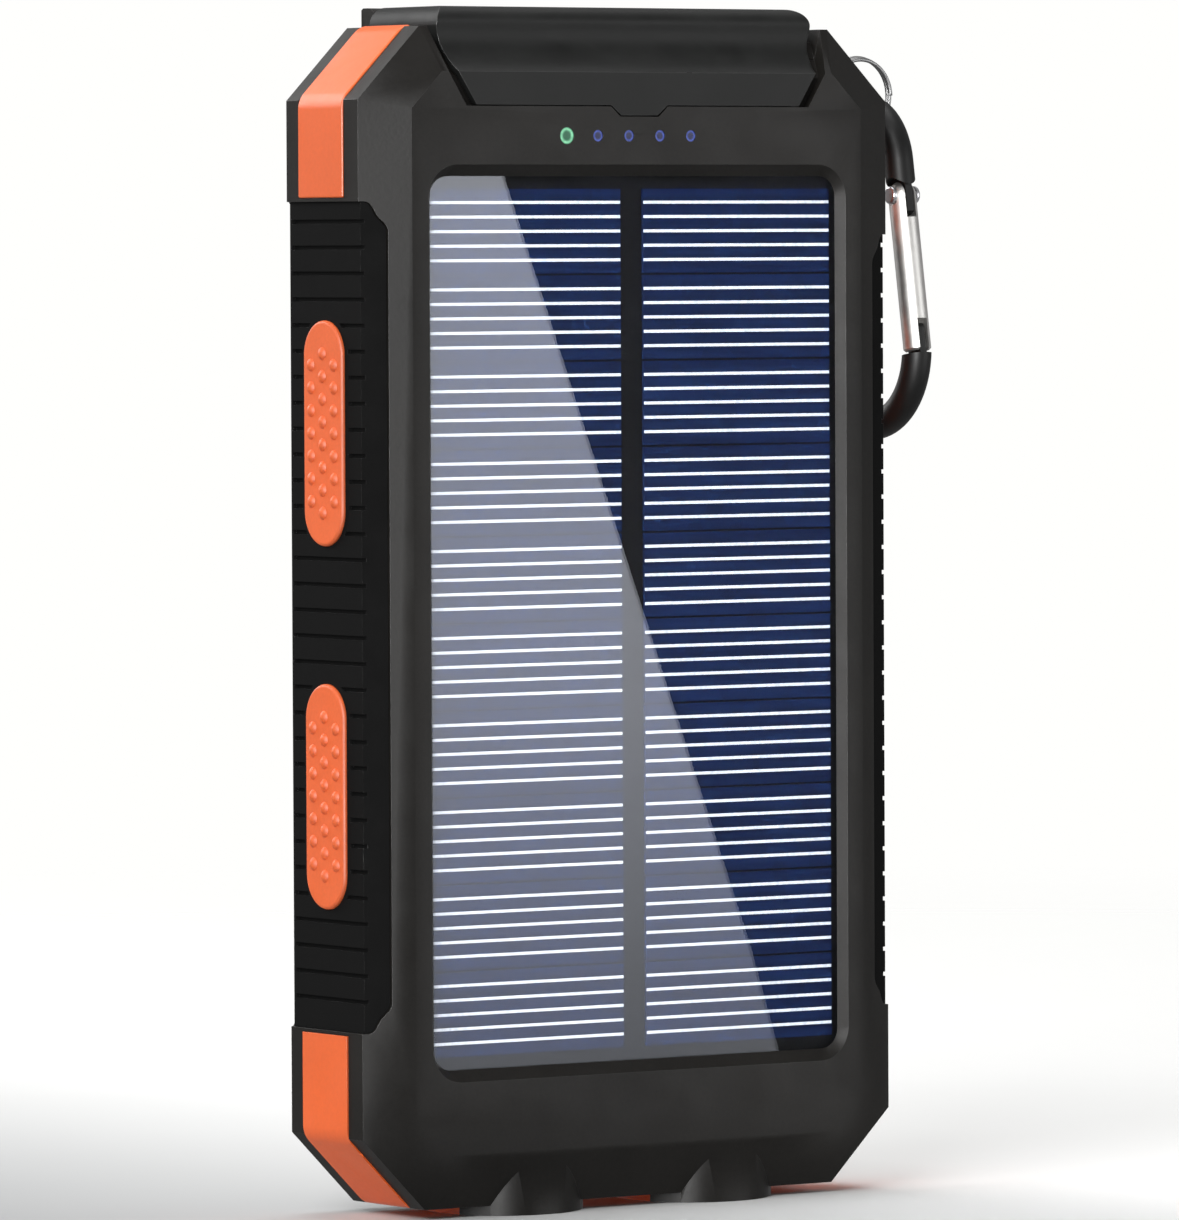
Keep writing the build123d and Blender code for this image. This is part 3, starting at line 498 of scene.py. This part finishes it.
def make_dial_marks():
    """Degree ticks, a ring and the four letters, printed on the compass card."""
    low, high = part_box("compass_card")
    middle = (low + high) / 2 / MM
    face = high.y / MM
    radius = (high.x - low.x) / 2 / MM
    ticks = ([], [])           # points and faces
    greens = ([], [])

    def place(angle, out, across=0.0):
        """A spot on the dial, seen from the back, with north up."""
        return (middle.x - out * math.sin(angle) - across * math.cos(angle),
                middle.z + out * math.cos(angle) - across * math.sin(angle))

    for index in range(TICKS):
        angle = math.radians(index * 360 / TICKS)
        length, width = LONG_TICK if index % LONG_EVERY == 0 else SHORT_TICK
        outer = radius - TICK_INSET
        stroke(*ticks, place(angle, outer), place(angle, outer - length), width, face)
    for index in range(RING_SIDES):
        start, end = (math.radians(360 / RING_SIDES * (index + k)) for k in (0, RING_OVERLAP))
        out = radius - RING_INSET
        stroke(*ticks, place(start, out), place(end, out), RING_WIDTH, face)
    for index in range(4):
        angle = math.radians(45 + index * 90)
        start, end = (place(angle, radius - inset) for inset in BETWEEN_INSETS)
        stroke(*ticks, start, end, BETWEEN_WIDTH, face)
    for index, letter in enumerate("NESW"):
        angle = math.radians(90 * index)
        half = max(x for line in LETTERS[letter] for x, z in line) / 2
        for line in LETTERS[letter]:
            spots = [place(angle, radius - LETTER_INSET + z * LETTER_UNIT, (x - half) * LETTER_UNIT)
                     for x, z in line]
            for start, end in zip(spots, spots[1:]):
                stroke(*greens, start, end, LETTER_WIDTH, face)
    white = moulded("dial_white", (0.8, 0.82, 0.8), roughness=0.5, grain=0.3, depth=0.004, variation=0.05)
    green = moulded("dial_green", (0.25, 0.85, 0.5), roughness=0.5, grain=0.3, depth=0.004, variation=0.05)
    piece("dial_ticks", *ticks, "compass_dial", white, "compass_card", smooth=False)
    piece("dial_letters", *greens, "compass_dial", green, "compass_card", smooth=False)


make_split_ring()
make_dial_marks()


# ---- floor, light and camera ----------------------------------------------------------------
def camera_axes():
    """Right, up and forward directions of the camera, with its roll."""
    turn, down, roll = (math.radians(v) for v in (VIEW_TURN, VIEW_DOWN, VIEW_ROLL))
    forward = Vector((math.sin(turn) * math.cos(down), math.cos(turn) * math.cos(down), -math.sin(down)))
    right = Vector((math.cos(turn), -math.sin(turn), 0))
    up = right.cross(forward)
    rolled_right = right * math.cos(roll) + up * math.sin(roll)
    rolled_up = up * math.cos(roll) - right * math.sin(roll)
    return rolled_right, rolled_up, forward


def make_camera():
    right, up, forward = camera_axes()
    data = bpy.data.cameras.new("camera")
    data.lens = VIEW_LENS
    data.sensor_width = SENSOR_WIDTH
    data.clip_start = 0.05
    data.clip_end = 20.0
    camera = bpy.data.objects.new("camera", data)
    bpy.context.scene.collection.objects.link(camera)
    place = Matrix((right, up, -forward)).transposed().to_4x4()
    place.translation = VIEW_TARGET - forward * VIEW_DISTANCE
    camera.matrix_world = place
    bpy.context.scene.camera = camera


def area_light(name, place, size, power):
    """A rectangular soft light aimed at the object's middle; places in metres, power in watts."""
    data = bpy.data.lights.new(name, "AREA")
    data.shape = "RECTANGLE"
    data.size, data.size_y = size
    data.energy = power
    light = bpy.data.objects.new(name, data)
    bpy.context.scene.collection.objects.link(light)
    light.location = place
    light.rotation_mode = "QUATERNION"
    light.rotation_quaternion = (LIGHT_TARGET - Vector(place)).to_track_quat("-Z", "Y")
    return light


def make_world():
    """The camera sees a plain pale background, and the object is lit more dimly from all round."""
    world = bpy.data.worlds.new("studio")
    world.use_nodes = True
    tree = world.node_tree
    seen = tree.nodes["Background"]
    lit = tree.nodes.new("ShaderNodeBackground")
    seen.inputs["Color"].default_value = (*BACKGROUND, 1)
    seen.inputs["Strength"].default_value = 1.0
    lit.inputs["Color"].default_value = (1, 1, 1, 1)
    lit.inputs["Strength"].default_value = WORLD_LIGHT
    either = tree.nodes.new("ShaderNodeMixShader")
    path = tree.nodes.new("ShaderNodeLightPath")
    tree.links.new(path.outputs["Is Camera Ray"], either.inputs[0])
    tree.links.new(lit.outputs[0], either.inputs[1])
    tree.links.new(seen.outputs[0], either.inputs[2])
    tree.links.new(either.outputs[0], tree.nodes["World Output"].inputs["Surface"])
    bpy.context.scene.world = world


def make_floor():
    """A pale table top, darkened to the left by a painted shadow, that fades into the background some way
    off.
    """
    mesh = bpy.data.meshes.new("floor")
    bm = bmesh.new()
    bmesh.ops.create_circle(bm, cap_ends=True, segments=96, radius=FLOOR_RADIUS)
    bm.to_mesh(mesh)
    bm.free()
    floor = bpy.data.objects.new("floor", mesh)
    bpy.context.scene.collection.objects.link(floor)
    f = Finish("floor", roughness=0.6, Specular_IOR_Level=0.15)
    mottle = f.noise(80 * MM, 3.0)
    # painted shadow: the floor's colour is darker to the left
    painted_shadow = f.blend(mottle, (0.24, 0.25, 0.26), (0.27, 0.28, 0.29))
    bright = f.blend(mottle, (0.93, 0.93, 0.92), (0.96, 0.96, 0.95))
    f.set("Base Color", f.blend(f.spread(f.axis("X"), *FLOOR_SHADE), painted_shadow, bright))
    far = f.add("ShaderNodeVectorMath", operation="LENGTH")
    f.tree.links.new(f.place, far.inputs[0])
    gone = f.spread(far.outputs["Value"], *FLOOR_FADE)
    nothing = f.add("ShaderNodeBsdfTransparent")
    both = f.feed(f.add("ShaderNodeMixShader"), _0=gone, _1=f.shader.outputs["BSDF"],
                  _2=nothing.outputs["BSDF"])
    f.tree.links.new(both.outputs["Shader"], f.output.inputs["Surface"])
    mesh.materials.append(f.material)
    floor.location.z = -FLOOR_DROP
    floor.visible_glossy = False
    floor.visible_transmission = False


def glass_card(name, outline, distance, colour, low, high):
    """A glowing studio card that shows only in reflections, placed for the panel's glass to mirror it.

    The outline is where its reflection lies on the glass, in millimetres, and the card stands out along
    the front camera's mirrored sight lines.  Its glow goes from low to high up the card, and fades away
    towards the foot.
    """
    eye = VIEW_TARGET - camera_axes()[2] * VIEW_DISTANCE
    glass_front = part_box("solar_glass")[0].y
    mirrored_eye = Vector((eye.x, 2 * glass_front - eye.y, eye.z))
    corners = []
    for x, z in outline:
        point = Vector((x * MM, glass_front, z * MM))
        corners.append(point + (point - mirrored_eye) * (distance / VIEW_DISTANCE))
    mesh = bpy.data.meshes.new(name)
    mesh.from_pydata(corners, [], [tuple(range(len(corners)))])
    card = bpy.data.objects.new(name, mesh)
    bpy.context.scene.collection.objects.link(card)
    f = Finish(name)
    lamp = f.feed(f.add("ShaderNodeEmission"), Color=(*colour, 1.0))
    foot = min(corner.z for corner in corners)
    top = max(corner.z for corner in corners)
    up = f.axis("Z")
    fade = f.spread(up, foot, foot + CARD_FADE * (top - foot))
    f.tree.links.new(f.maths("MULTIPLY", f.spread(up, foot, top, low, high), fade), lamp.inputs["Strength"])
    f.tree.links.new(lamp.outputs[0], f.output.inputs["Surface"])
    mesh.materials.append(f.material)
    card.visible_camera = False
    card.visible_diffuse = False
    card.visible_shadow = False


def make_glass_cards():
    """A bright slanted sheen on the left of the glass, and a faint glow behind it over all the glass."""
    glass_card("sheen_card", SHEEN_OUTLINE, NEAR_CARD, (0.88, 0.91, 1.0), 1.8, 3.6)
    glass_card("dark_card", DARK_OUTLINE, FAR_CARD, (0.9, 0.93, 1.0), 0.12, 0.0)


# name, place, size and power of the lights
SOFT_LIGHTS = [
    ("key", (-1.2, -0.7, 1.0), (0.9, 0.9), 18),
    ("top", (0.1, 0.2, 1.3), (0.8, 0.8), 8),
    ("back", (-0.4, 1.1, 0.6), (0.9, 0.6), 8),
]
GLOSS_LIGHTS = [
    ("face_sheen", (0.95, -1.3, 0.1), (0.9, 0.9), 8),
    ("side_strip", (-1.1, -0.37, 0.1), (0.1, 1.2), 14),
    ("front_strip", (-0.8, -1.0, 0.12), (0.08, 0.4), 24),
]
LIGHT_TARGET = Vector((0, 0, 0.07))


def make_lights():
    """Three soft lights, and three more that only glossy and clear surfaces show."""
    for row in SOFT_LIGHTS:
        area_light(*row)
    for row in GLOSS_LIGHTS:
        light = area_light(*row)
        light.visible_diffuse = False


bpy.context.scene.view_settings.view_transform = "Standard"
make_world()
make_floor()
make_lights()
make_glass_cards()
make_camera()
